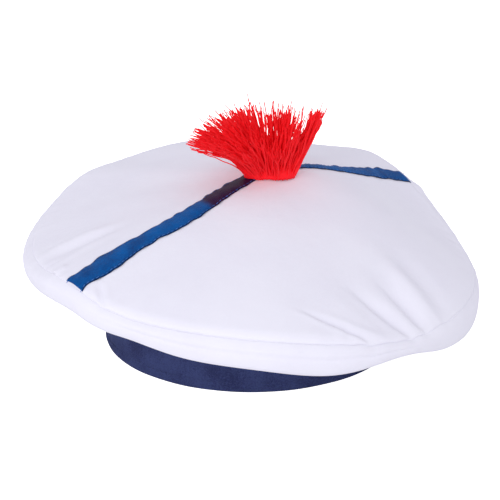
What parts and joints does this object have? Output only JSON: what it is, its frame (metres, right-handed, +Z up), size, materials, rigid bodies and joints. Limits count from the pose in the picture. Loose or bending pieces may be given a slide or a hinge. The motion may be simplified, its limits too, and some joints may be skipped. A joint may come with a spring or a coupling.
{
  "type": "sailor cap",
  "caption": "Soft round sailor cap: a domed two-panel crown that overhangs an upright band, with a ribbon across the top and a thread tuft.",
  "frame": {"origin": "middle of the band's lower edge, on the surface that the cap stands on", "axes": "+Z up, -Y towards the wearer's front, +X towards the wearer's left; the ribbon runs along X"},
  "size_m": [0.2918, 0.2919, 0.1506],
  "materials": {
    "white_cotton": "matte fine cotton",
    "navy_twill": "matte twill",
    "blue_satin": "satin",
    "red_thread": "soft thread"
  },
  "bodies": {
    "root": {"band": "navy_twill", "crown_under": "white_cotton", "crown_top": "white_cotton", "ribbon": "blue_satin", "tuft": "red_thread"}
  },
  "joints": []
}
